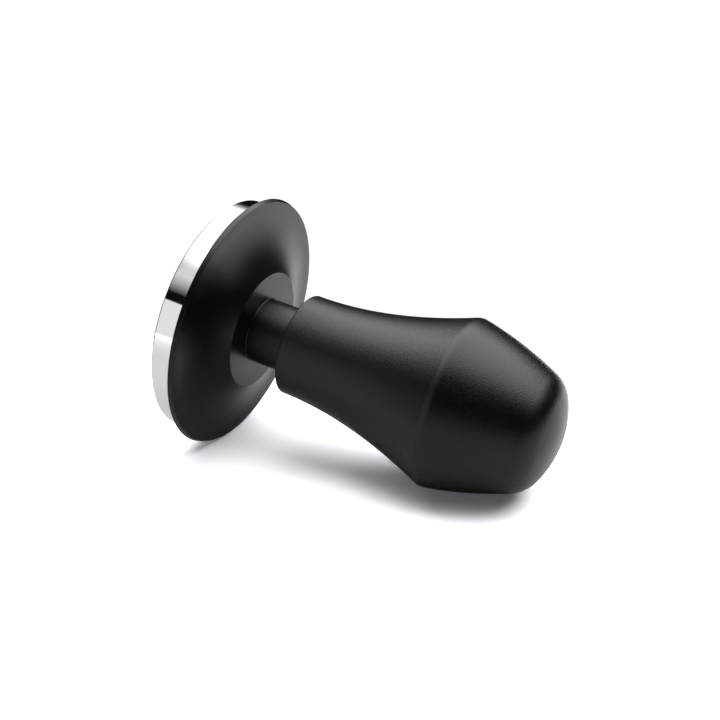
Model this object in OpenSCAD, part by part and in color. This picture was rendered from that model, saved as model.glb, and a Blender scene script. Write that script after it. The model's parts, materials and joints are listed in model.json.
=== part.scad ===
// Spring-loaded levelling espresso tamper, standing on its tamping base.
// The origin is the centre of the base's bottom face, and +Z runs up the handle.
// Sizes are in millimetres.

/* [Tamping base] */
// Diameter of the polished steel base, which enters the filter basket
base_d = 58.5; // [53:0.5:60]
// Height of the base's polished side
base_h = 5.85; // [5:0.05:7]
// Bevel around the base's bottom edge
base_bevel = 0.4; // [0.1:0.05:0.8]
// Diameter of the raised hub on top of the base
hub_d = 22; // [18:0.5:24]
// Height of the hub above the base
hub_h = 2.6; // [2:0.1:3]
// Depth of metal left under the threaded hole
base_floor = 2; // [1.5:0.1:3]

/* [Leveling disc] */
// Outer diameter of the leveling disc
disc_d = 62.8; // [62:0.2:66]
// Gap between the base's top and the disc's underside
disc_gap = 0.3; // [0.2:0.05:0.6]
// Height of the bevelled band around the rim
rim_h = 1.2; // [0.6:0.05:1.4]
// How far the rim's band leans in over its height
rim_lean = 0.45; // [0.2:0.05:1.5]
// Diameter of the flat centre
flat_d = 29.3; // [26:0.1:34]
// Height of the flat centre above the disc's underside
disc_rise = 5.95; // [5:0.05:7]
// Width of the almost flat zone inside the rim
face_lead = 2.5; // [1:0.1:5]
// Slope of that zone, in degrees
lead_slope = 2; // [0:0.5:4]

/* [Neck] */
// Outer diameter of the sleeve that shows as the neck
neck_d = 16.06; // [15.5:0.02:16.5]
// Visible length of the neck between the disc and the handle
neck_gap = 10.9; // [10.9:0.1:13]

/* [Handle] */
// Length of the handle from its mouth to its domed end
handle_len = 66.5; // [64:0.5:72]
// Diameter of the handle at its mouth
mouth_d = 24.9; // [24.2:0.1:27]
// Radius of the mouth's outer edge
mouth_edge = 0.3; // [0.2:0.1:1.5]
// Diameter of the flare where it meets the shoulder's curve
shoulder_d = 40.6; // [38:0.1:44]
// Height of that place above the mouth
shoulder_rise = 39.25; // [36:0.05:41]
// Slope of the flare where it meets the shoulder
flare_slope = 0.386; // [0.3:0.002:0.44]
// Radius of the shoulder's curve
shoulder_edge = 3.6; // [1:0.1:4]
// Slope of the taper just above the shoulder
taper_start = 0.2; // [0.1:0.01:0.3]
// Slope of the taper at the end's rounding
taper_end = 0.45; // [0.35:0.01:0.5]
// Height above the mouth at which the taper ends
taper_rise = 60; // [58:0.1:60.5]
// Radius of the rounding around the handle's end
end_edge = 8.2; // [6:0.1:9]

/* [Motion] */
// Stroke of the handle against the main spring
press_travel = 6.5; // [4:0.1:6.5]
// Lift of the leveling disc against its own spring
lift_travel = 4; // [2:0.1:4]

/* [Springs] */
// Wire diameter of the main spring
main_wire_d = 2.4; // [1.6:0.1:2.8]
// Mean diameter of the main spring's coil
main_coil_d = 14.8; // [14.4:0.1:15.4]
// Turns of the main spring
main_turns = 7.5; // [5.5:0.5:8]
// Wire diameter of the leveler spring
level_wire_d = 1; // [0.6:0.1:1.1]
// Mean diameter of the leveler spring's coil
level_coil_d = 12; // [11.4:0.1:12.4]
// Turns of the leveler spring
level_turns = 7.5; // [5.5:0.5:9]

/* [Hidden] */
$fn = 96;

// Clearances: thrust faces that turn on each other, and shafts that run in bores
face_gap = 0.05;
run_gap = 0.05;
// Height kept free between parts at the end of a stroke
stroke_spare = 0.45;
// Bevel on small machined edges
edge = 0.15;

// Tamping base
base_r = base_d / 2;
hub_r = hub_d / 2;
hub_top = base_h + hub_h;
hub_bevel = 0.3;

// Leveling disc
disc_r = disc_d / 2;
disc_z = base_h + disc_gap;
rim_top_r = disc_r - rim_lean;
rim_top_z = disc_z + rim_h;
flat_r = flat_d / 2;
flat_z = disc_z + disc_rise;
recess_gap = 0.6;
recess_r = hub_r + recess_gap;
recess_top = hub_top + disc_gap;

// Shaft, and what is clamped on its lower end
shaft_r = 4;
thread_r = 3;
thread_clear = 0.4;
lock_washer_t = 0.5;
lock_washer_r = 6.2;
stop_ring_t = 1;
shaft_z = hub_top + lock_washer_t;
stop_ring_top = shaft_z + stop_ring_t;

// Neck sleeve
neck_r = neck_d / 2;
sleeve_z = recess_top;
sleeve_pocket_r = 6.6;
sleeve_step_z = stop_ring_top + face_gap;
bush_r = 5.6;
bush_len = 6.2;
bush_inset = 0.3;
sleeve_shoulder_z = sleeve_step_z + bush_inset + bush_len;
spring_bore_r = 7;
level_seat_t = 0.7;
level_seat_r = 6.8;
level_seat_z = sleeve_shoulder_z + face_gap;

// Handle
mouth_z = flat_z + neck_gap;
mouth_r = mouth_d / 2;
handle_top = mouth_z + handle_len;
shoulder_r = shoulder_d / 2;
flare_z = mouth_z + mouth_edge;
shoulder_z = mouth_z + shoulder_rise;
taper_end_z = mouth_z + taper_rise;
bore_r = 9.5;
bore_end = mouth_z + 55;
bore_bevel = 0.6;
collar_r = 10.4;
collar_inset = 0.8;
collar_z = mouth_z + collar_inset;
collar_top = mouth_z + 10;
collar_lip_t = 1.8;
collar_lip_r = 8.4;
guide_r = 9.1;
guide_inset = 0.4;
stop_washer_t = 1;
stop_washer_r = 9.4;
stop_washer_hole_r = 8.5;

// Piston, and the screw that holds it on the shaft
piston_z = collar_top + stop_washer_t + face_gap;
piston_h = 8;
piston_r = 9.2;
piston_top = piston_z + piston_h;
piston_step_z = piston_z + 2;
spigot_r = 3.2;
groove_z = piston_z + 2.5;
groove_h = 3;
groove_r = 8.2;
guide_ring_r = bore_r - run_gap;
screw_r = 2;
screw_len = 10;
screw_head_r = 3.5;
screw_head_h = 4;
screw_washer_t = 0.8;
screw_washer_r = 4.5;
hex_key = 3;

// The sleeve ends under the piston by the disc's lift
sleeve_top = piston_z - lift_travel - stroke_spare;

// Upper seat of the main spring
thrust_t = 1;
thrust_r = bore_r - bore_bevel - 0.1;
thrust_hole_r = 3;
seat_t = 2;
seat_r = 9.2;
seat_boss_r = 5.6;
seat_boss_h = 2;
seat_hole_r = 1.5;
thrust_z = bore_end - thrust_t;
seat_z = thrust_z - face_gap - seat_t;

// Facets along and around a spring's wire, and between arc points
coil_steps = 22;
wire_sides = 8;
arc_steps = 12;
curve_steps = 28;

// Points of an arc about a centre [r, z]; angles run from +R towards +Z
function arc(centre, radius, from, to, steps) = [
    for (i = [0:steps])
        let (a = from + (to - from) * i / steps)
        centre + radius * [cos(a), sin(a)]
];

// Concave face of the disc: one arc from the lead zone up to the flat's edge
lead_r = rim_top_r - face_lead;
lead_z = rim_top_z + face_lead * tan(lead_slope);
face_chord = atan2(flat_z - lead_z, lead_r - flat_r);
face_slope = 2 * face_chord - lead_slope;
face_radius = (lead_r - flat_r) / (sin(face_slope) - sin(lead_slope));
face_centre = [lead_r + face_radius * sin(lead_slope), lead_z + face_radius * cos(lead_slope)];

// Handle's flare: leaves the mouth straight and reaches the shoulder at its slope
function flare(t) =
    mouth_r + (shoulder_r - mouth_r) * (3 * t * t - 2 * t * t * t)
    + flare_slope * (shoulder_z - flare_z) * (t * t * t - t * t);

// Shoulder: an arc that turns the flare into the taper
flare_angle = atan(flare_slope);
start_angle = atan(taper_start);
end_angle = atan(taper_end);
shoulder_centre = [
    shoulder_r - shoulder_edge * cos(flare_angle),
    shoulder_z + shoulder_edge * sin(flare_angle)
];
taper_r = shoulder_centre[0] + shoulder_edge * cos(start_angle);
taper_z = shoulder_centre[1] + shoulder_edge * sin(start_angle);

// Taper: its slope grows evenly from start to end
function taper(h) =
    taper_r - taper_start * h
    - (taper_end - taper_start) * h * h / (2 * (taper_end_z - taper_z));

// Rounding around the end, and the dome that touches it from inside
end_r = taper(taper_end_z - taper_z);
end_centre = [end_r - end_edge * cos(end_angle), taper_end_z - end_edge * sin(end_angle)];
dome_h = handle_top - end_centre[1];
dome_radius = (dome_h * dome_h + end_centre[0] * end_centre[0] - end_edge * end_edge)
    / (2 * (dome_h - end_edge));
dome_centre = [0, handle_top - dome_radius];
dome_angle = atan2(end_centre[1] - dome_centre[1], end_centre[0]);

// A turned ring between two radii and two heights
module ring(r_in, r_out, z0, z1) {
    translate([0, 0, z0])
        difference() {
            cylinder(r = r_out, h = z1 - z0);
            translate([0, 0, -1])
                cylinder(r = r_in, h = z1 - z0 + 2);
        }
}

// A coil of round wire between two heights, with its end turns closed up
module coil(z0, z1, coil_r, wire_r, turns) {
    span = z1 - z0 - 2 * wire_r;
    closed = 2 * wire_r + 0.15;
    rise = (span - 2 * closed) / (turns - 2);
    count = floor(turns * coil_steps);
    function height(n) =
        n < 1 ? n * closed
        : n > turns - 1 ? span - (turns - n) * closed
        : closed + (n - 1) * rise;
    points = [
        for (i = [0:count])
            let (n = turns * i / count, a = 360 * n)
            for (j = [0:wire_sides - 1])
                let (b = 360 * j / wire_sides, r = coil_r + wire_r * cos(b))
                [r * cos(a), r * sin(a), z0 + wire_r + height(n) + wire_r * sin(b)]
    ];
    sides = [
        for (i = [0:count - 1])
            for (j = [0:wire_sides - 1])
                let (k = (j + 1) % wire_sides, p = i * wire_sides, q = p + wire_sides)
                [p + j, p + k, q + k, q + j]
    ];
    first = [for (j = [wire_sides - 1:-1:0]) j];
    last = [for (j = [0:wire_sides - 1]) count * wire_sides + j];
    polyhedron(points = points, faces = concat(sides, [first], [last]), convexity = 10);
}

module tamping_base() {
    color("#d9dadc")
        difference() {
            rotate_extrude()
                polygon([
                    [0, 0],
                    [base_r - base_bevel, 0],
                    [base_r, base_bevel],
                    [base_r, base_h - edge],
                    [base_r - edge, base_h],
                    [hub_r, base_h],
                    [hub_r, hub_top - hub_bevel],
                    [hub_r - hub_bevel, hub_top],
                    [0, hub_top]
                ]);
            translate([0, 0, base_floor])
                cylinder(r = thread_r, h = hub_top);
        }
}

module shaft() {
    tail_z = base_floor + thread_clear;
    color("#b9bbbe")
        difference() {
            union() {
                translate([0, 0, tail_z])
                    cylinder(r = thread_r, h = shaft_z - tail_z);
                translate([0, 0, shaft_z])
                    cylinder(r = shaft_r, h = piston_step_z - shaft_z);
                translate([0, 0, piston_step_z])
                    cylinder(r = spigot_r, h = piston_top - thread_clear / 2 - piston_step_z);
            }
            translate([0, 0, piston_top - screw_len - thread_clear])
                cylinder(r = screw_r, h = screw_len + 2 * thread_clear);
        }
}

module base_lock_washer() {
    color("#9c9ea1") ring(thread_r, lock_washer_r, hub_top, shaft_z);
}

module leveler_stop_ring() {
    color("#2a2a2b") ring(shaft_r, lock_washer_r, shaft_z, stop_ring_top);
}

module piston() {
    color("#8d8f92")
        difference() {
            translate([0, 0, piston_z])
                cylinder(r = piston_r, h = piston_h);
            ring(groove_r, bore_r, groove_z, groove_z + groove_h);
            translate([0, 0, piston_z - 1])
                cylinder(r = shaft_r, h = piston_step_z - piston_z + 1);
            translate([0, 0, piston_z])
                cylinder(r = spigot_r, h = piston_h + 1);
        }
}

module piston_guide_ring() {
    color("#e6e3da") ring(groove_r, guide_ring_r, groove_z, groove_z + groove_h);
}

module shaft_screw_washer() {
    color("#9c9ea1") ring(screw_r, screw_washer_r, piston_top, piston_top + screw_washer_t);
}

module shaft_screw() {
    head_z = piston_top + screw_washer_t;
    color("#3a3b3d")
        difference() {
            union() {
                translate([0, 0, piston_top - screw_len])
                    cylinder(r = screw_r, h = head_z - piston_top + screw_len);
                translate([0, 0, head_z])
                    cylinder(r = screw_head_r, h = screw_head_h);
            }
            translate([0, 0, head_z + screw_head_h / 2])
                cylinder(d = hex_key / cos(30), h = screw_head_h, $fn = 6);
        }
}

module main_spring() {
    color("#a7a9ac")
        coil(piston_top + face_gap, seat_z - face_gap, main_coil_d / 2, main_wire_d / 2, main_turns);
}

module leveler_spring() {
    color("#a7a9ac")
        coil(
            level_seat_z + level_seat_t + face_gap, piston_z - face_gap,
            level_coil_d / 2, level_wire_d / 2, level_turns
        );
}

module leveler_spring_seat() {
    color("#9c9ea1")
        ring(shaft_r + 2 * disc_gap, level_seat_r, level_seat_z, level_seat_z + level_seat_t);
}

module leveling_disc() {
    color("#1a1a1b")
        rotate_extrude()
            polygon(concat(
                [
                    [neck_r, recess_top],
                    [recess_r, recess_top],
                    [recess_r, disc_z],
                    [disc_r - edge, disc_z],
                    [disc_r, disc_z + edge],
                    [rim_top_r, rim_top_z]
                ],
                arc(face_centre, face_radius, 270 - lead_slope, 270 - face_slope, curve_steps),
                [
                    [neck_r + edge, flat_z],
                    [neck_r, flat_z - edge]
                ]
            ));
}

module neck_sleeve() {
    color("#161617")
        rotate_extrude()
            polygon([
                [sleeve_pocket_r, sleeve_z],
                [neck_r, sleeve_z],
                [neck_r, sleeve_top - edge],
                [neck_r - edge, sleeve_top],
                [spring_bore_r, sleeve_top],
                [spring_bore_r, sleeve_shoulder_z],
                [bush_r, sleeve_shoulder_z],
                [bush_r, sleeve_step_z + bush_inset],
                [bush_r - bush_inset, sleeve_step_z + bush_inset],
                [bush_r - bush_inset, sleeve_step_z],
                [sleeve_pocket_r, sleeve_step_z]
            ]);
}

module sleeve_bush() {
    color("#e6e3da") ring(shaft_r + run_gap, bush_r, sleeve_step_z + bush_inset, sleeve_shoulder_z);
}

module upper_spring_seat() {
    color("#9c9ea1")
        difference() {
            union() {
                translate([0, 0, seat_z])
                    cylinder(r = seat_r, h = seat_t);
                translate([0, 0, seat_z - seat_boss_h])
                    cylinder(r = seat_boss_r, h = seat_boss_h);
            }
            translate([0, 0, seat_z - seat_boss_h - 1])
                cylinder(r = seat_hole_r, h = seat_t + seat_boss_h + 2);
        }
}

module thrust_washer() {
    color("#e6e3da") ring(thrust_hole_r, thrust_r, thrust_z, bore_end);
}

module handle_shell() {
    color("#1a1a1b")
        difference() {
            rotate_extrude()
                polygon(concat(
                    [[0, mouth_z]],
                    arc([mouth_r - mouth_edge, flare_z], mouth_edge, 270, 360, arc_steps),
                    [
                        for (i = [1:curve_steps])
                            let (t = i / curve_steps)
                            [flare(t), flare_z + t * (shoulder_z - flare_z)]
                    ],
                    [
                        for (i = [1:arc_steps])
                            let (a = -flare_angle + (flare_angle + start_angle) * i / arc_steps)
                            shoulder_centre + shoulder_edge * [cos(a), sin(a)]
                    ],
                    [
                        for (i = [1:curve_steps])
                            let (h = (taper_end_z - taper_z) * i / curve_steps)
                            [taper(h), taper_z + h]
                    ],
                    [
                        for (i = [1:arc_steps])
                            let (a = end_angle + (dome_angle - end_angle) * i / arc_steps)
                            end_centre + end_edge * [cos(a), sin(a)]
                    ],
                    [
                        for (i = [1:arc_steps - 1])
                            let (a = dome_angle + (90 - dome_angle) * i / arc_steps)
                            dome_centre + dome_radius * [cos(a), sin(a)]
                    ],
                    [[0, handle_top]]
                ));
            rotate_extrude()
                polygon([
                    [0, mouth_z - 1],
                    [collar_r, mouth_z - 1],
                    [collar_r, collar_top],
                    [bore_r, collar_top],
                    [bore_r, bore_end - bore_bevel],
                    [bore_r - bore_bevel, bore_end],
                    [0, bore_end]
                ]);
        }
}

module retaining_collar() {
    slot_w = 1.4;
    slot_h = 0.8;
    color("#8d8f92")
        difference() {
            rotate_extrude()
                polygon([
                    [guide_r, collar_z],
                    [collar_r - edge, collar_z],
                    [collar_r, collar_z + edge],
                    [collar_r, collar_top],
                    [collar_lip_r, collar_top],
                    [collar_lip_r, collar_top - collar_lip_t],
                    [guide_r, collar_top - collar_lip_t]
                ]);
            // Two notches for the spanner that screws it in
            translate([0, 0, collar_z])
                cube([3 * collar_r, slot_w, 2 * slot_h], center = true);
        }
}

module collar_guide_bush() {
    color("#e6e3da")
        ring(neck_r + run_gap, guide_r, collar_z + guide_inset, collar_top - collar_lip_t);
}

module piston_stop_washer() {
    color("#2a2a2b") ring(stop_washer_hole_r, stop_washer_r, collar_top, collar_top + stop_washer_t);
}

tamping_base();
shaft();
base_lock_washer();
leveler_stop_ring();
piston();
piston_guide_ring();
shaft_screw();
shaft_screw_washer();
main_spring();
leveler_spring();
leveler_spring_seat();
leveling_disc();
neck_sleeve();
sleeve_bush();
upper_spring_seat();
thrust_washer();
handle_shell();
retaining_collar();
collar_guide_bush();
piston_stop_washer();
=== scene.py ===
import json
import math

import bpy
from mathutils import Matrix, Vector


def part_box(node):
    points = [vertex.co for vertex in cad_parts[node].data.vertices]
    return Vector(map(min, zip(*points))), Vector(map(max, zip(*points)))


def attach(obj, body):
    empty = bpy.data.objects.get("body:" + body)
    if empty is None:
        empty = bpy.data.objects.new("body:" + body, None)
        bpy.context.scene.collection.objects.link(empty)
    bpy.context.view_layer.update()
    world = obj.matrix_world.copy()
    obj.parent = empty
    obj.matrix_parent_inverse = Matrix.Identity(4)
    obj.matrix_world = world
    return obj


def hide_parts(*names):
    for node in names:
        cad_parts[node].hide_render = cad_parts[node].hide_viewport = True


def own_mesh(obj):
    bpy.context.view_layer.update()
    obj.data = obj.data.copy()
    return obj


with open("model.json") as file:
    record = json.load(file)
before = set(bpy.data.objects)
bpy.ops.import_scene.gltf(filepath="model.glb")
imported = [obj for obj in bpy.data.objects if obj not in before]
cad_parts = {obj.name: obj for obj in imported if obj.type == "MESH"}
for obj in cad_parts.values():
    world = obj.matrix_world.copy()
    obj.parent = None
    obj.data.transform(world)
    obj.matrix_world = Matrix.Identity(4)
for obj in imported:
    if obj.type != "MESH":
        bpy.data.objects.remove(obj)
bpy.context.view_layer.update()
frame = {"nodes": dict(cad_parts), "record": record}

# Espresso tamper: the looks. Outlines are in millimetres and become metres in lathe() and coil().
# An outline is a list of (radius, height, rounding): a corner with a rounding gets an arc of that
# radius, and a point whose rounding is 0 lies on a smooth curve.

MM = 0.001

# ---------------------------------------------------------------- sizes taken from the frame


def heights(node):
    """Lowest and highest point of a CAD node along the tamper's axis, in millimetres."""
    low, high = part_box(node)
    return low.z / MM, high.z / MM


def outer(node):
    """Outer radius of a CAD node, in millimetres."""
    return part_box(node)[1].x / MM


BASE_R = outer("tamping_base")
HUB_TOP = heights("tamping_base")[1]
DISC_R = outer("leveling_disc")
DISC_Z, FLAT_Z = heights("leveling_disc")
NECK_R = outer("neck_sleeve")
SLEEVE_Z, SLEEVE_TOP = heights("neck_sleeve")
MOUTH_Z, HANDLE_TOP = heights("handle_shell")

# ---------------------------------------------------------------- outlines


def arc(centre, radius, start, end, steps):
    """Points of an arc about (r, z), from one angle in degrees to another."""
    angles = [math.radians(start + (end - start) * i / steps) for i in range(steps + 1)]
    return [(centre[0] + radius * math.cos(a), centre[1] + radius * math.sin(a), 0) for a in angles]


def softened(outline, closed, steps=5):
    """The outline with its rounded corners made into arcs."""
    points, count = [], len(outline)
    for i, (r, z, rounding) in enumerate(outline):
        if rounding == 0 or (not closed and i in (0, count - 1)):
            points.append((r, z))
            continue
        corner = Vector((r, z))
        back = Vector(outline[i - 1][:2]) - corner
        ahead = Vector(outline[(i + 1) % count][:2]) - corner
        half = back.angle(ahead) / 2
        reach = min(rounding / math.tan(half), 0.45 * back.length, 0.45 * ahead.length)
        radius = reach * math.tan(half)
        centre = corner + (back.normalized() + ahead.normalized()).normalized() * radius / math.sin(half)
        first = corner + back.normalized() * reach - centre
        turn = first.angle_signed(corner + ahead.normalized() * reach - centre)
        for k in range(steps + 1):
            arm = first.copy()
            arm.rotate(Matrix.Rotation(-turn * k / steps, 2))
            points.append(tuple(centre + arm))
    return points


def supported(points, closed, margin=0.12):
    """Adds a point close to both ends of each long straight stretch, so that shading stays flat along it."""
    result, count = [], len(points)
    for i, point in enumerate(points):
        result.append(point)
        if not closed and i == count - 1:
            break
        here, there = Vector(point), Vector(points[(i + 1) % count])
        span = (there - here).length
        if span > 5 * margin:
            for share in (margin / span, 1 - margin / span):
                result.append(tuple(here.lerp(there, share)))
    return result


# ---------------------------------------------------------------- mesh makers


def finished_object(name, vertices, faces):
    mesh = bpy.data.meshes.new(name)
    mesh.from_pydata(vertices, [], faces)
    mesh.validate()
    mesh.shade_smooth()
    piece = bpy.data.objects.new(name, mesh)
    bpy.context.scene.collection.objects.link(piece)
    return piece


def lathe(name, outline, closed=True, around=160):
    """Turns an outline about the axis. An open outline starts and ends on the axis."""
    points = supported(softened(outline, closed), closed)
    vertices, rings = [], []
    for r, z in points:
        if r < 1e-6:
            rings.append([len(vertices)])
            vertices.append((0, 0, z * MM))
            continue
        rings.append(list(range(len(vertices), len(vertices) + around)))
        for k in range(around):
            a = 2 * math.pi * k / around
            vertices.append((r * math.cos(a) * MM, r * math.sin(a) * MM, z * MM))
    faces = []
    pairs = list(zip(rings, rings[1:])) + ([(rings[-1], rings[0])] if closed else [])
    for low, high in pairs:
        for k in range(around):
            n = (k + 1) % around
            if len(low) == 1:
                faces.append((low[0], high[n], high[k]))
            elif len(high) == 1:
                faces.append((low[k], low[n], high[0]))
            else:
                faces.append((low[k], low[n], high[n], high[k]))
    return finished_object(name, vertices, faces)


# ---------------------------------------------------------------- the turned outlines

BEVEL = 0.4           # bevel around the base's bottom edge
BASE_H = 5.85         # height of the base's polished side
HUB_R = 11
THREAD_R = 3
BASE_FLOOR = 2        # metal left under the threaded hole
SHARP = 0.06          # rounding that every machined edge keeps


def base_outline():
    return [
        (0, 0, 0),
        (BASE_R - BEVEL, 0, SHARP),
        (BASE_R, BEVEL, SHARP),
        (BASE_R, BASE_H, 0.12),
        (HUB_R, BASE_H, 0.1),
        (HUB_R, HUB_TOP, 0.3),
        (THREAD_R, HUB_TOP, 0.2),
        (THREAD_R, BASE_FLOOR, 0.2),
        (0, BASE_FLOOR, 0),
    ]


RIM_H, RIM_LEAN = 1.2, 0.45        # band around the disc's rim, and how far it leans in
RIM_EDGE = 0.15                    # bevel under the band
FACE_LEAD, LEAD_SLOPE = 2.5, 2     # almost flat zone inside the rim, and its slope in degrees
FLAT_R = 14.65
RECESS_R, RECESS_TOP = 11.6, 8.75
FOOT = 0.25                        # fillet where the neck meets the flat


def disc_face():
    """Concave face of the disc, from its rim up to the flat, as one arc."""
    slope = math.radians(LEAD_SLOPE)
    lead_r = DISC_R - RIM_LEAN - FACE_LEAD
    lead_z = DISC_Z + RIM_H + FACE_LEAD * math.tan(slope)
    chord = math.atan2(FLAT_Z - lead_z, lead_r - FLAT_R)
    steep = 2 * chord - slope
    radius = (lead_r - FLAT_R) / (math.sin(steep) - math.sin(slope))
    centre = (lead_r + radius * math.sin(slope), lead_z + radius * math.cos(slope))
    return arc(centre, radius, 270 - LEAD_SLOPE, 270 - math.degrees(steep), 40)


def disc_outline():
    face = disc_face()
    top = face.pop()
    return [
        (NECK_R, RECESS_TOP, 0.1),
        (RECESS_R, RECESS_TOP, 0.15),
        (RECESS_R, DISC_Z, 0.15),
        (DISC_R - RIM_EDGE, DISC_Z, 0.03),
        (DISC_R, DISC_Z + RIM_EDGE, 0.02),
        (DISC_R - RIM_LEAN, DISC_Z + RIM_H, SHARP),
        *face,
        (top[0], top[1], SHARP),
        *arc((NECK_R + FOOT, FLAT_Z + FOOT), FOOT, 270, 180, 6),
    ]


BUSH_R, BUSH_END = 5.6, 16.5       # bore for the sleeve's bush, and where it stops
BUSH_Z = 10.3
LIP_R, LIP_Z = 5.3, 10
POCKET_R = 6.6
SPRING_BORE_R = 7


def sleeve_outline():
    return [
        (POCKET_R, SLEEVE_Z, 0.1),
        (NECK_R, SLEEVE_Z, 0.1),
        (NECK_R, SLEEVE_TOP, 0.15),
        (SPRING_BORE_R, SLEEVE_TOP, 0.15),
        (SPRING_BORE_R, BUSH_END, 0.1),
        (BUSH_R, BUSH_END, 0.1),
        (BUSH_R, BUSH_Z, 0.05),
        (LIP_R, BUSH_Z, 0.05),
        (LIP_R, LIP_Z, 0.05),
        (POCKET_R, LIP_Z, 0.1),
    ]


MOUTH_R, MOUTH_EDGE = 12.45, 0.3
SHOULDER_R, SHOULDER_RISE, SHOULDER_EDGE = 20.3, 39.25, 3.6
FLARE_SLOPE = 0.386                # slope of the flare where it meets the shoulder
TAPER_START, TAPER_END, TAPER_RISE = 0.2, 0.45, 60
END_EDGE = 8.2                     # rounding around the handle's end
COLLAR_R, COLLAR_TOP = 10.4, 33
BORE_R, BORE_END, BORE_BEVEL = 9.5, 78, 0.6


def flare():
    """From the mouth, which it leaves straight, to the shoulder."""
    start, end = MOUTH_Z + MOUTH_EDGE, MOUTH_Z + SHOULDER_RISE
    points = []
    for i in range(1, 73):
        t = i / 72
        r = MOUTH_R + (SHOULDER_R - MOUTH_R) * (3 * t * t - 2 * t**3)
        r += FLARE_SLOPE * (end - start) * (t**3 - t * t)
        points.append((r, start + t * (end - start), 0))
    return points


def handle_outside():
    lean, first, last = (math.degrees(math.atan(s)) for s in (FLARE_SLOPE, TAPER_START, TAPER_END))
    rim = arc((MOUTH_R - MOUTH_EDGE, MOUTH_Z + MOUTH_EDGE), MOUTH_EDGE, 270, 360, 10)
    centre = (
        SHOULDER_R - SHOULDER_EDGE * math.cos(math.radians(lean)),
        MOUTH_Z + SHOULDER_RISE + SHOULDER_EDGE * math.sin(math.radians(lean)),
    )
    shoulder = arc(centre, SHOULDER_EDGE, -lean, first, 14)
    taper_r, taper_z = shoulder[-1][:2]
    span = MOUTH_Z + TAPER_RISE - taper_z
    taper = []
    for i in range(1, 41):
        h = span * i / 40
        r = taper_r - TAPER_START * h - (TAPER_END - TAPER_START) * h * h / (2 * span)
        taper.append((r, taper_z + h, 0))
    end_r, end_z = taper[-1][:2]
    turn = math.radians(last)
    end_centre = (end_r - END_EDGE * math.cos(turn), end_z - END_EDGE * math.sin(turn))
    rise = HANDLE_TOP - end_centre[1]
    dome = (rise * rise + end_centre[0] ** 2 - END_EDGE**2) / (2 * (rise - END_EDGE))
    meet = math.degrees(math.atan2(end_centre[1] - HANDLE_TOP + dome, end_centre[0]))
    rounding = arc(end_centre, END_EDGE, last, meet, 28)
    cap = arc((0, HANDLE_TOP - dome), dome, meet, 90, 20)
    return rim + flare() + shoulder[1:] + taper + rounding[1:] + cap[1:-1] + [(0, HANDLE_TOP, 0)]


def handle_outline():
    inside = [
        (0, BORE_END, 0),
        (BORE_R - BORE_BEVEL, BORE_END, 0.1),
        (BORE_R, BORE_END - BORE_BEVEL, 0.1),
        (BORE_R, COLLAR_TOP, 0.1),
        (COLLAR_R, COLLAR_TOP, 0.1),
        (COLLAR_R, MOUTH_Z, 0.2),
    ]
    return inside + handle_outside()


SHAFT_R, SPIGOT_R = 4, 3.2
SHAFT_STEP_Z, SCREW_HOLE_Z, SCREW_R = 36.05, 31.65, 2
GROOVE_R, SEAT_HOLE_R, SEAT_BOSS_R, SEAT_T = 8.2, 1.5, 5.6, 2
LEVEL_SEAT_HOLE_R, STOP_HOLE_R, RUN_GAP = 4.6, 8.5, 0.05
WASHER_EDGE, SOFT_EDGE = 0.08, 0.25


def ring(node, hole_r, rounding=WASHER_EDGE):
    """A plain ring with the height and outer radius of its CAD node."""
    low, high = heights(node)
    corners = ((hole_r, low), (outer(node), low), (outer(node), high), (hole_r, high))
    return [(r, z, rounding) for r, z in corners]


def shaft_outline():
    low, high = heights("shaft")
    seat = heights("base_lock_washer")[1]
    return [
        (0, low, 0),
        (THREAD_R, low, 0.4),
        (THREAD_R, seat, SHARP),
        (SHAFT_R, seat, 0.15),
        (SHAFT_R, SHAFT_STEP_Z, 0.15),
        (SPIGOT_R, SHAFT_STEP_Z, SHARP),
        (SPIGOT_R, high, 0.2),
        (SCREW_R, high, 0.15),
        (SCREW_R, SCREW_HOLE_Z, SHARP),
        (0, SCREW_HOLE_Z, 0),
    ]


def piston_outline():
    low, high = heights("piston")
    groove_low, groove_high = heights("piston_guide_ring")
    r = outer("piston")
    return [
        (SHAFT_R, low, 0.15),
        (r, low, 0.3),
        (r, groove_low, SHARP),
        (GROOVE_R, groove_low, SHARP),
        (GROOVE_R, groove_high, SHARP),
        (r, groove_high, SHARP),
        (r, high, 0.3),
        (SPIGOT_R, high, 0.15),
        (SPIGOT_R, SHAFT_STEP_Z, SHARP),
        (SHAFT_R, SHAFT_STEP_Z, SHARP),
    ]


def upper_seat_outline():
    low, high = heights("upper_spring_seat")
    r = outer("upper_spring_seat")
    return [
        (SEAT_HOLE_R, low, 0.1),
        (SEAT_BOSS_R, low, 0.5),
        (SEAT_BOSS_R, high - SEAT_T, SHARP),
        (r, high - SEAT_T, 0.2),
        (r, high, 0.2),
        (SEAT_HOLE_R, high, 0.1),
    ]


END_TURN_GAP = 0.15    # gap between a closed end turn and the next one


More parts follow.
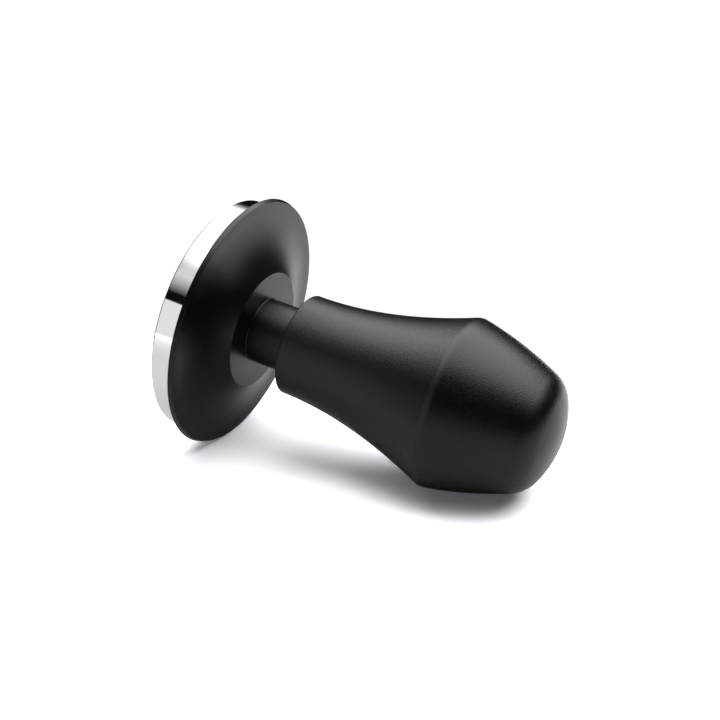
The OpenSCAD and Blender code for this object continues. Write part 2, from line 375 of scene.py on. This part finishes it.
def coil(node, wire_r, turns, steps=56, sides=18):
    """A spring of round wire with its end turns closed up, as high and as wide as its CAD node."""
    low, high = heights(node)
    coil_r = outer(node) - wire_r
    span = high - low - 2 * wire_r
    end_rise = 2 * wire_r + END_TURN_GAP
    rise = (span - 2 * end_rise) / (turns - 2)

    def height(n):
        if n < 1:
            return max(n, 0) * end_rise
        if n > turns - 1:
            return span - max(turns - n, 0) * end_rise
        return end_rise + (n - 1) * rise

    def eased(n):
        return sum(height(n + d / 40) for d in range(-4, 5)) / 9

    count = int(turns * steps)
    rings = [(0, 0.75)] + [(turns * i / count, 1) for i in range(1, count)] + [(turns, 0.75)]
    vertices, faces = [], []
    for n, size in rings:
        a = 2 * math.pi * n
        for j in range(sides):
            b = 2 * math.pi * j / sides
            r = coil_r + wire_r * size * math.cos(b)
            z = low + wire_r + eased(n) + wire_r * size * math.sin(b)
            vertices.append((r * math.cos(a) * MM, r * math.sin(a) * MM, z * MM))
    for i in range(count):
        p, q = i * sides, (i + 1) * sides
        for j in range(sides):
            k = (j + 1) % sides
            faces.append((p + j, q + j, q + k, p + k))
    faces.append(tuple(range(sides)))
    faces.append(tuple(count * sides + j for j in reversed(range(sides))))
    return finished_object(node + "_finished", vertices, faces)


# ---------------------------------------------------------------- materials


def principled(name, color, metallic, roughness, level=0.5):
    """A new material with its Principled shader; colour and roughness may be linked later."""
    material = bpy.data.materials.new(name)
    material.use_nodes = True
    shader = material.node_tree.nodes["Principled BSDF"]
    shader.inputs["Base Color"].default_value = (*color, 1)
    shader.inputs["Metallic"].default_value = metallic
    shader.inputs["Roughness"].default_value = roughness
    shader.inputs["Specular IOR Level"].default_value = level
    return material, material.node_tree, shader


def node_value(tree, kind, **values):
    node = tree.nodes.new(kind)
    for key, value in values.items():
        setattr(node, key, value)
    return node


def noise(tree, scale, detail=2.0, stretch=(1, 1, 1)):
    """A noise in the piece's own coordinates, in metres."""
    place = tree.nodes.new("ShaderNodeTexCoord")
    mapping = tree.nodes.new("ShaderNodeMapping")
    mapping.inputs["Scale"].default_value = stretch
    texture = tree.nodes.new("ShaderNodeTexNoise")
    texture.inputs["Scale"].default_value = scale
    texture.inputs["Detail"].default_value = detail
    tree.links.new(place.outputs["Object"], mapping.inputs["Vector"])
    tree.links.new(mapping.outputs["Vector"], texture.inputs["Vector"])
    return texture.outputs["Fac"]


def spread(tree, value, low, high, start=0.3, end=0.7):
    """Maps a pattern's middle range to low..high."""
    node = tree.nodes.new("ShaderNodeMapRange")
    node.inputs["From Min"].default_value = start
    node.inputs["From Max"].default_value = end
    node.inputs["To Min"].default_value = low
    node.inputs["To Max"].default_value = high
    tree.links.new(value, node.inputs["Value"])
    return node.outputs["Result"]


def bump(tree, shader, height, strength, distance):
    node = tree.nodes.new("ShaderNodeBump")
    node.inputs["Strength"].default_value = strength
    node.inputs["Distance"].default_value = distance
    tree.links.new(height, node.inputs["Height"])
    tree.links.new(node.outputs["Normal"], shader.inputs["Normal"])


def turning(tree, scale, detail=2.0):
    """A noise that changes only with radius and height, like the marks of a lathe."""
    place = tree.nodes.new("ShaderNodeTexCoord")
    flat = node_value(tree, "ShaderNodeVectorMath", operation="MULTIPLY")
    flat.inputs[1].default_value = (1, 1, 0)
    radius = node_value(tree, "ShaderNodeVectorMath", operation="LENGTH")
    split = tree.nodes.new("ShaderNodeSeparateXYZ")
    joined = tree.nodes.new("ShaderNodeCombineXYZ")
    texture = tree.nodes.new("ShaderNodeTexNoise")
    texture.inputs["Scale"].default_value = scale
    texture.inputs["Detail"].default_value = detail
    tree.links.new(place.outputs["Object"], flat.inputs[0])
    tree.links.new(flat.outputs[0], radius.inputs[0])
    tree.links.new(place.outputs["Object"], split.inputs[0])
    tree.links.new(radius.outputs["Value"], joined.inputs["X"])
    tree.links.new(split.outputs["Z"], joined.inputs["Z"])
    tree.links.new(joined.outputs[0], texture.inputs["Vector"])
    return texture.outputs["Fac"]


def tinted(tree, shader, value, dark, light):
    """The shader's colour, from dark to light with a pattern."""
    mix = node_value(tree, "ShaderNodeMix", data_type="RGBA")
    mix.inputs["A"].default_value = (*dark, 1)
    mix.inputs["B"].default_value = (*light, 1)
    tree.links.new(value, mix.inputs["Factor"])
    tree.links.new(mix.outputs["Result"], shader.inputs["Base Color"])


def blasted_black(name, color, roughness, grain, depth):
    """Black anodised aluminium over a bead-blasted surface: fine pits and a slight change of gloss."""
    material, tree, shader = principled(name, color, 0, roughness, level=0.25)
    pits = noise(tree, grain, detail=3)
    cloud = noise(tree, 90, detail=2)
    tree.links.new(spread(tree, cloud, roughness - 0.02, roughness + 0.02), shader.inputs["Roughness"])
    bump(tree, shader, pits, 0.5, depth)
    return material


def polished_steel():
    """Mirror polish, with the last trace of haze and of the lathe's rings."""
    material, tree, shader = principled("polished_steel", (0.64, 0.635, 0.63), 1, 0.03)
    haze = noise(tree, 120, detail=4)
    tree.links.new(spread(tree, haze, 0.02, 0.05), shader.inputs["Roughness"])
    bump(tree, shader, turning(tree, 2600), 0.02, 0.00002)
    return material


def turned_metal(name, dark, light, low, high, grain=5200):
    """Bare turned metal: fine rings from the lathe, duller in their valleys, and darker there with painted
    shade.
    """
    material, tree, shader = principled(name, light, 1, (low + high) / 2)
    rings = turning(tree, grain, detail=3)
    # The ring pattern is the lathe's own; colouring its valleys darker is painted shade
    tinted(tree, shader, spread(tree, rings, 0, 1), dark, light)
    cloud = noise(tree, 160, detail=3)
    tree.links.new(spread(tree, cloud, low, high), shader.inputs["Roughness"])
    bump(tree, shader, rings, 0.35, 0.00002)
    return material


def spring_wire():
    """Drawn wire: shallow streaks, and a faint brown cast left by its heat treatment."""
    material, tree, shader = principled("spring_steel", (0.4, 0.39, 0.375), 1, 0.3)
    cast = noise(tree, 220, detail=3)
    tinted(tree, shader, spread(tree, cast, 0, 1), (0.3, 0.275, 0.24), (0.46, 0.455, 0.45))
    tree.links.new(spread(tree, cast, 0.36, 0.24), shader.inputs["Roughness"])
    bump(tree, shader, noise(tree, 2400, detail=2, stretch=(1, 1, 4)), 0.3, 0.00002)
    return material


def acetal():
    """Machined white plastic: soft, slightly warm, with light passing a little way in."""
    material, tree, shader = principled("white_acetal", (0.78, 0.765, 0.72), 0, 0.42)
    cloud = noise(tree, 300, detail=3)
    tinted(tree, shader, spread(tree, cloud, 0, 1), (0.74, 0.72, 0.67), (0.8, 0.79, 0.75))
    tree.links.new(spread(tree, cloud, 0.38, 0.48), shader.inputs["Roughness"])
    shader.inputs["Subsurface Weight"].default_value = 0.1
    shader.inputs["Subsurface Radius"].default_value = (0.0006, 0.0006, 0.0005)
    bump(tree, shader, turning(tree, 4200), 0.25, 0.00002)
    return material


def nitrile():
    """Moulded black rubber: matt, with a fine dusty grain."""
    material, tree, shader = principled("black_rubber", (0.012, 0.012, 0.012), 0, 0.75, level=0.3)
    grain = noise(tree, 2600, detail=4)
    tinted(tree, shader, spread(tree, noise(tree, 260, detail=2), 0, 1), (0.008,) * 3, (0.02, 0.02, 0.019))
    tree.links.new(spread(tree, grain, 0.66, 0.84), shader.inputs["Roughness"])
    bump(tree, shader, grain, 0.4, 0.00004)
    return material


INK = (0.001, 0.001, 0.001)
MATERIALS = {
    "polished_steel": polished_steel(),
    "black_anodised_handle": blasted_black("black_anodised_handle", INK, 0.31, 3800, 0.00012),
    "black_anodised_disc": blasted_black("black_anodised_disc", INK, 0.31, 4200, 0.00006),
    "black_anodised_neck": blasted_black("black_anodised_neck", INK, 0.31, 4200, 0.00012),
    "turned_steel": turned_metal("turned_steel", (0.44, 0.44, 0.445), (0.6, 0.6, 0.61), 0.22, 0.32),
    "black_steel": turned_metal("black_steel", (0.03, 0.03, 0.032), (0.06, 0.06, 0.065), 0.34, 0.44),
    "plain_aluminium": turned_metal("plain_aluminium", (0.5, 0.505, 0.51), (0.66, 0.665, 0.67), 0.26, 0.38),
    "spring_steel": spring_wire(),
    "white_acetal": acetal(),
    "black_rubber": nitrile(),
}
SLOTS = {part["node"]: part["material_slot"] for part in frame["record"]["subparts"]}
BODIES = {node: body for body, nodes in frame["record"]["behaviour"]["bodies"].items() for node in nodes}


def finish_piece(piece, node):
    """Gives a piece its material and its place in the mechanism, and hides the CAD node it stands for."""
    piece.data.materials.append(MATERIALS[SLOTS[node]])
    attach(piece, BODIES[node])
    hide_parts(node)


# Pieces turned about the axis: each outline, and whether it stays off the axis all the way round
TURNED = {
    "tamping_base": (base_outline(), False),
    "leveling_disc": (disc_outline(), True),
    "neck_sleeve": (sleeve_outline(), True),
    "handle_shell": (handle_outline(), False),
    "shaft": (shaft_outline(), False),
    "piston": (piston_outline(), True),
    "upper_spring_seat": (upper_seat_outline(), True),
    "base_lock_washer": (ring("base_lock_washer", THREAD_R), True),
    "leveler_stop_ring": (ring("leveler_stop_ring", SHAFT_R, SOFT_EDGE), True),
    "piston_guide_ring": (ring("piston_guide_ring", GROOVE_R, 0.1), True),
    "shaft_screw_washer": (ring("shaft_screw_washer", SCREW_R), True),
    "leveler_spring_seat": (ring("leveler_spring_seat", LEVEL_SEAT_HOLE_R), True),
    "sleeve_bush": (ring("sleeve_bush", SHAFT_R + RUN_GAP, 0.2), True),
    "thrust_washer": (ring("thrust_washer", THREAD_R, 0.12), True),
    "collar_guide_bush": (ring("collar_guide_bush", NECK_R + RUN_GAP, 0.2), True),
    "piston_stop_washer": (ring("piston_stop_washer", STOP_HOLE_R, SOFT_EDGE), True),
}
for node, (outline, closed) in TURNED.items():
    finish_piece(lathe(node + "_finished", outline, closed), node)

# Springs: wire radius, turns, and the joint that closes them
SPRINGS = {
    "main_spring": (1.2, 7.5, "handle_press"),
    "leveler_spring": (0.5, 7.5, "leveler_lift"),
}
for node, (wire_r, turns, joint) in SPRINGS.items():
    piece = coil(node, wire_r, turns)
    finish_piece(piece, node)
    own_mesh(piece)

# These two keep their CAD shape: one has a hexagonal socket, the other two notches
for node in ("shaft_screw", "retaining_collar"):
    mesh = frame["nodes"][node].data
    mesh.materials.clear()
    mesh.materials.append(MATERIALS[SLOTS[node]])

# ---------------------------------------------------------------- the table it lies on

# The tamper lies on its side: on the disc's rim and on the handle's widest place.
rim = Vector((DISC_R, DISC_Z + 0.15))
outside = [Vector(p[:2]) for p in handle_outside() if p[1] > MOUTH_Z + 20]
touch = min(outside, key=lambda p: (rim.x - p.x) / (p.y - rim.y))
TABLE_TILT = math.atan((rim.x - touch.x) / (touch.y - rim.y))
TABLE_SIDE = math.radians(-45)     # bearing of the tamper's upper side, about its own axis

side = Vector((math.cos(TABLE_SIDE), math.sin(TABLE_SIDE), 0))
axis = Vector((0, 0, 1))
UP = side * math.cos(TABLE_TILT) - axis * math.sin(TABLE_TILT)
ALONG = side * math.sin(TABLE_TILT) + axis * math.cos(TABLE_TILT)
CONTACT = -side * rim.x * MM + axis * rim.y * MM

# ---------------------------------------------------------------- camera

CAMERA_TURN = math.radians(26.17)  # how far the camera's right turns from the tamper's length
CAMERA_RISE = math.radians(22.33)  # camera's height above the table
CAMERA_REACH = 0.27326             # distance from the lens to the plane of the base's centre
AIM_RIGHT, AIM_DOWN = 0.03443, 0.01147
LENS_MM = 55

across = ALONG.cross(UP)
toward = (across * math.cos(CAMERA_TURN) + ALONG * math.sin(CAMERA_TURN)).normalized()
flat_right = UP.cross(toward)
back = toward * math.cos(CAMERA_RISE) + UP * math.sin(CAMERA_RISE)
picture_up = back.cross(flat_right)
place = flat_right * AIM_RIGHT - picture_up * AIM_DOWN + back * CAMERA_REACH

lens = bpy.data.cameras.new("photo_camera")
lens.lens = LENS_MM
lens.sensor_width = 36
lens.clip_start = 0.01
lens.clip_end = 50
camera = bpy.data.objects.new("photo_camera", lens)
camera.matrix_world = Matrix.Translation(place) @ Matrix((flat_right, picture_up, back)).transposed().to_4x4()
bpy.context.scene.collection.objects.link(camera)
bpy.context.scene.camera = camera

# ---------------------------------------------------------------- floor, lights and world

FOCUS = axis * 0.045               # the tamper's middle

FLOOR_HALF, FLOOR_SHIFT = 6, 0.035
FLOOR_SEEN = (1.15, 1.13, 1.18)    # the table's white, as the camera sees it
FLOOR_GLOW, GLOW_START = 1.2, (0.12, 0.45)      # light added far from the tamper, and from where
SHADOW_LIFT, LIFT_TINT = 0.05, (0.9, 0.86, 1)   # light added everywhere, which shows in the shadow
BACKDROP_WHITE = 1.08              # brightness of the table behind the tamper, where no shadow shows
BACKDROP_START = (0.02, 0.05)      # how far behind the tamper that begins, in metres
MIRRORED_WHITE_AND_PAINTED_LIGHT = (0.42, 0.58)      # how white the table is in reflections, in front and behind; the lighter white behind is painted light, for the softbox lighting it more there
MIRROR_LINE, MIRROR_STEP = (0.6, 0.8, 0), (-0.02, 0.06)     # the line that parts the two, and its width
TABLE_END, TABLE_SHIFT = (0.35, 0.5), 0.17      # where it fades away in them, and its centre's shift
GAP_BEARING, GAP_START = -145, (0.09, 0.14)     # and the side where it ends sooner
TABLE_DARK = (0.01, 0.01, 0.01)    # the table past its end

SOFTBOX_HEIGHT, SOFTBOX_STRENGTH = 0.6, 6
SOFTBOX_EXTENT = (-0.68, 1.0, -0.52, 1.7)       # left, right, near and far edges, from the tamper's middle
SOFTBOX_FADES, SOFTBOX_POWER = (0.3, 0.3, 0.3, 1.2), 2.2
SOFTBOX_SLANTS = ((-0.5, -0.866, 0.12, 0.4), (0, 1, 0.6, 1.8))

CARD_BEARING, CARD_RISE, CARD_REACH = -54, 0.12, 0.5
CARD_EXTENT, CARD_FADES, CARD_STRENGTH = (-0.25, 0.25, -0.16, 0.12), (0.005,) * 4, 1.16

SCRIM_BEARING, SCRIM_RISE, SCRIM_REACH = -60, 49, 0.75
SCRIM_EXTENT, SCRIM_FADES, SCRIM_STRENGTH = (-0.24, 0.24, -0.22, 0.36), (0.06, 0.06, 0.2, 0.15), 1

FILL_PLACE, FILL_SIZE, FILL_WATTS = (0.3, 0.32, 0.6), (0.4, 0.3), 1

NET_DIM = 0.3                      # how much of the light the net lets through
NET_DEPTH = 0.003                  # how far it hangs below the base's bottom
NET_EXTENT = (0.01, 0.055, -0.035, 0.035)       # across the upper side, and towards the camera
# Where it fades in or out: a direction on it, density at the start and the end, and the two places
NET_FALLS = (((0, 1, 0), 1, 0, 0.018, 0.027), ((1.2, 1, 0), 0, 1, 0.0356, 0.0436))

ROOM_DARK = (0.006, 0.006, 0.0065)


def stage_frame(right, near, up):
    """A place in the room: metres to the right, towards the camera and up, from the tamper's middle."""
    return FOCUS + flat_right * right + toward * near + UP * up


def direction(bearing, rise):
    """A direction in the room: degrees from the camera's side towards the right, and above the table."""
    flat = toward * math.cos(math.radians(bearing)) + flat_right * math.sin(math.radians(bearing))
    return flat * math.cos(math.radians(rise)) + UP * math.sin(math.radians(rise))


def stage_plane(name, centre, x_axis, y_axis, extent, material):
    """A flat rectangle, from x0 to x1 and y0 to y1 about a centre, that faces x_axis cross y_axis."""
    x0, x1, y0, y1 = extent
    mesh = bpy.data.meshes.new(name)
    mesh.from_pydata([(x0, y0, 0), (x1, y0, 0), (x1, y1, 0), (x0, y1, 0)], [], [(0, 1, 2, 3)])
    mesh.materials.append(material)
    plane = bpy.data.objects.new(name, mesh)
    turn = Matrix((x_axis, y_axis, x_axis.cross(y_axis))).transposed().to_4x4()
    plane.matrix_world = Matrix.Translation(centre) @ turn
    bpy.context.scene.collection.objects.link(plane)
    return plane


def empty_material(name):
    """A new material that holds only its output, with that output's surface socket."""
    material = bpy.data.materials.new(name)
    material.use_nodes = True
    material.node_tree.nodes.clear()
    out = material.node_tree.nodes.new("ShaderNodeOutputMaterial")
    return material, material.node_tree, out.inputs["Surface"]


def emission(tree, strength, color=(1, 1, 1)):
    """A glow; its strength is a number or a pattern."""
    node = tree.nodes.new("ShaderNodeEmission")
    node.inputs["Color"].default_value = (*color, 1)
    if isinstance(strength, bpy.types.NodeSocket):
        tree.links.new(strength, node.inputs["Strength"])
    else:
        node.inputs["Strength"].default_value = strength
    return node.outputs[0]


def added(tree, first, second):
    node = tree.nodes.new("ShaderNodeAddShader")
    tree.links.new(first, node.inputs[0])
    tree.links.new(second, node.inputs[1])
    return node.outputs[0]


def mixed(tree, factor, first, second):
    node = tree.nodes.new("ShaderNodeMixShader")
    tree.links.new(factor, node.inputs["Fac"])
    tree.links.new(first, node.inputs[1])
    tree.links.new(second, node.inputs[2])
    return node.outputs[0]


def times(tree, first, second):
    node = node_value(tree, "ShaderNodeMath", operation="MULTIPLY")
    tree.links.new(first, node.inputs[0])
    tree.links.new(second, node.inputs[1])
    return node.outputs[0]


def along(tree, place, line):
    """How far a place lies along a line."""
    node = node_value(tree, "ShaderNodeVectorMath", operation="DOT_PRODUCT")
    node.inputs[1].default_value = line
    tree.links.new(place, node.inputs[0])
    return node.outputs["Value"]


def distance(tree, place, centre):
    node = node_value(tree, "ShaderNodeVectorMath", operation="DISTANCE")
    node.inputs[1].default_value = centre
    tree.links.new(place, node.inputs[0])
    return node.outputs["Value"]


def on_table(way):
    """A direction in the room, in the table's own coordinates."""
    return Vector((way.dot(ALONG), way.dot(UP.cross(ALONG)), 0))


def floor_material():
    """Matt white, evenly lit far from the tamper, and not there when seen from underneath.
    The camera sees it brighter than the tamper mirrors it, as a bright exposure would show it,
    just white behind the tamper, so that thin dark edges hold against it, and to the horizon,
    while in reflections it ends like a small table in a dark room.
    In reflections it is also painted lighter behind the tamper than in front: painted light, for the softbox
    lighting it more there."""
    material, tree, surface = empty_material("pale_floor")
    place = tree.nodes.new("ShaderNodeTexCoord").outputs["Object"]
    glow = spread(tree, distance(tree, place, (0, 0, 0)), 0, FLOOR_GLOW, *GLOW_START)

    def matt(color):
        node = tree.nodes.new("ShaderNodeBsdfDiffuse")
        node.inputs["Color"].default_value = (*color, 1)
        return node

    white, dark = matt((1, 1, 1)), matt(TABLE_DARK)
    # Painted light: in reflections the table is whiter behind the tamper than in front, where the softbox
    # lights it more
    painted_lighter_behind = spread(tree, along(tree, place, MIRROR_LINE), *MIRRORED_WHITE_AND_PAINTED_LIGHT, *MIRROR_STEP)
    tree.links.new(painted_lighter_behind, white.inputs["Color"])
    near = added(tree, white.outputs[0], emission(tree, glow))
    beyond = spread(tree, distance(tree, place, on_table(card_dir * TABLE_SHIFT)), 0, 1, *TABLE_END)
    gap = spread(tree, along(tree, place, on_table(direction(GAP_BEARING, 0))), 0, 1, *GAP_START)
    ended = mixed(tree, beyond, near, dark.outputs[0])
    mirrored = mixed(tree, gap, ended, dark.outputs[0])

    lit = added(tree, matt(FLOOR_SEEN).outputs[0], emission(tree, glow))
    lifted = added(tree, lit, emission(tree, SHADOW_LIFT, LIFT_TINT))
    behind = spread(tree, along(tree, place, (0, 1, 0)), 0, 1, *BACKDROP_START)
    seen = mixed(tree, behind, lifted, emission(tree, BACKDROP_WHITE))

    by_camera = tree.nodes.new("ShaderNodeLightPath").outputs["Is Camera Ray"]
    from_below = tree.nodes.new("ShaderNodeNewGeometry").outputs["Backfacing"]
    clear = tree.nodes.new("ShaderNodeBsdfTransparent").outputs[0]
    tree.links.new(mixed(tree, from_below, mixed(tree, by_camera, mirrored, seen), clear), surface)
    return material


def panel_material(name, strength, extent, fades, power=1.0, slants=()):
    """A glowing panel, otherwise clear, that fades towards its four edges over these widths, in metres.
    Each slant (direction x, direction y, start, end) fades it along that direction too."""
    material, tree, surface = empty_material(name)
    place = tree.nodes.new("ShaderNodeTexCoord").outputs["Object"]
    split = tree.nodes.new("ShaderNodeSeparateXYZ")
    tree.links.new(place, split.inputs[0])
    x0, x1, y0, y1 = extent
    falls = [
        spread(tree, split.outputs["X"], 0, 1, x0, x0 + fades[0]),
        spread(tree, split.outputs["X"], 1, 0, x1 - fades[1], x1),
        spread(tree, split.outputs["Y"], 0, 1, y0, y0 + fades[2]),
        spread(tree, split.outputs["Y"], 1, 0, y1 - fades[3], y1),
    ]
    for x, y, start, end in slants:
        falls.append(spread(tree, along(tree, place, (x, y, 0)), 1, 0, start, end))
    product = falls[0]
    for fall in falls[1:]:
        product = times(tree, product, fall)
    for operation, amount in (("POWER", power), ("MULTIPLY", strength)):
        step = node_value(tree, "ShaderNodeMath", operation=operation)
        step.inputs[1].default_value = amount
        tree.links.new(product, step.inputs[0])
        product = step.outputs[0]
    clear = tree.nodes.new("ShaderNodeBsdfTransparent").outputs[0]
    tree.links.new(added(tree, emission(tree, product), clear), surface)
    return material


def net_material():
    """A clear sheet that dims what crosses its middle and fades out towards both sides."""
    material, tree, surface = empty_material("net")
    place = tree.nodes.new("ShaderNodeTexCoord").outputs["Object"]
    falls = [spread(tree, along(tree, place, line), *rest) for line, *rest in NET_FALLS]
    clear = tree.nodes.new("ShaderNodeBsdfTransparent")
    density = times(tree, *falls)
    tree.links.new(spread(tree, density, 1, NET_DIM, 0, 1), clear.inputs["Color"])
    tree.links.new(clear.outputs[0], surface)
    return material


def fill_light(name, centre, aim, size, watts):
    """A soft light that brightens the table and shows in no reflection."""
    data = bpy.data.lights.new(name, "AREA")
    data.shape = "RECTANGLE"
    data.size, data.size_y = size
    data.energy = watts
    lamp = bpy.data.objects.new(name, data)
    turn = (centre - aim).to_track_quat("Z", "Y").to_matrix().to_4x4()
    lamp.matrix_world = Matrix.Translation(centre) @ turn
    lamp.visible_camera = False
    lamp.visible_glossy = False
    bpy.context.scene.collection.objects.link(lamp)


card_dir = direction(CARD_BEARING, 0)
stage_plane(
    "floor", CONTACT + ALONG * FLOOR_SHIFT, ALONG, UP.cross(ALONG),
    (-FLOOR_HALF, FLOOR_HALF, -FLOOR_HALF, FLOOR_HALF), floor_material(),
)
softbox = stage_plane(
    "softbox", stage_frame(0, 0, SOFTBOX_HEIGHT), flat_right, -toward, SOFTBOX_EXTENT,
    panel_material(
        "softbox", SOFTBOX_STRENGTH, SOFTBOX_EXTENT, SOFTBOX_FADES, SOFTBOX_POWER, SOFTBOX_SLANTS
    ),
)
card = stage_plane(
    "reflector_card", FOCUS + card_dir * CARD_REACH + UP * CARD_RISE, UP.cross(card_dir), UP, CARD_EXTENT,
    panel_material("reflector_card", CARD_STRENGTH, CARD_EXTENT, CARD_FADES),
)
fill_light("front_fill", stage_frame(*FILL_PLACE), FOCUS, FILL_SIZE, FILL_WATTS)
scrim_dir = direction(SCRIM_BEARING, SCRIM_RISE)
scrim_x = UP.cross(scrim_dir).normalized()
scrim = stage_plane(
    "scrim", scrim_dir * SCRIM_REACH, scrim_x, scrim_dir.cross(scrim_x), SCRIM_EXTENT,
    panel_material("scrim", SCRIM_STRENGTH, SCRIM_EXTENT, SCRIM_FADES),
)
# It hangs between the softbox and the polished side, which would mirror the softbox far too brightly
net = stage_plane("net", -axis * NET_DEPTH, side, axis.cross(side), NET_EXTENT, net_material())
net.visible_diffuse = False
net.visible_shadow = False
for panel in (softbox, card, scrim, net):
    panel.visible_camera = False

# The camera sees a white room, and the tamper mirrors a dark one
world = bpy.data.worlds.new("studio")
bpy.context.scene.world = world
world.use_nodes = True
tree = world.node_tree
tree.nodes.clear()
rooms = []
for color in (ROOM_DARK, (1, 1, 1)):
    room = tree.nodes.new("ShaderNodeBackground")
    room.inputs["Color"].default_value = (*color, 1)
    rooms.append(room.outputs[0])
by_camera = tree.nodes.new("ShaderNodeLightPath").outputs["Is Camera Ray"]
out = tree.nodes.new("ShaderNodeOutputWorld")
tree.links.new(mixed(tree, by_camera, *rooms), out.inputs["Surface"])

view = bpy.context.scene.view_settings
view.view_transform = "Standard"
view.look = "None"
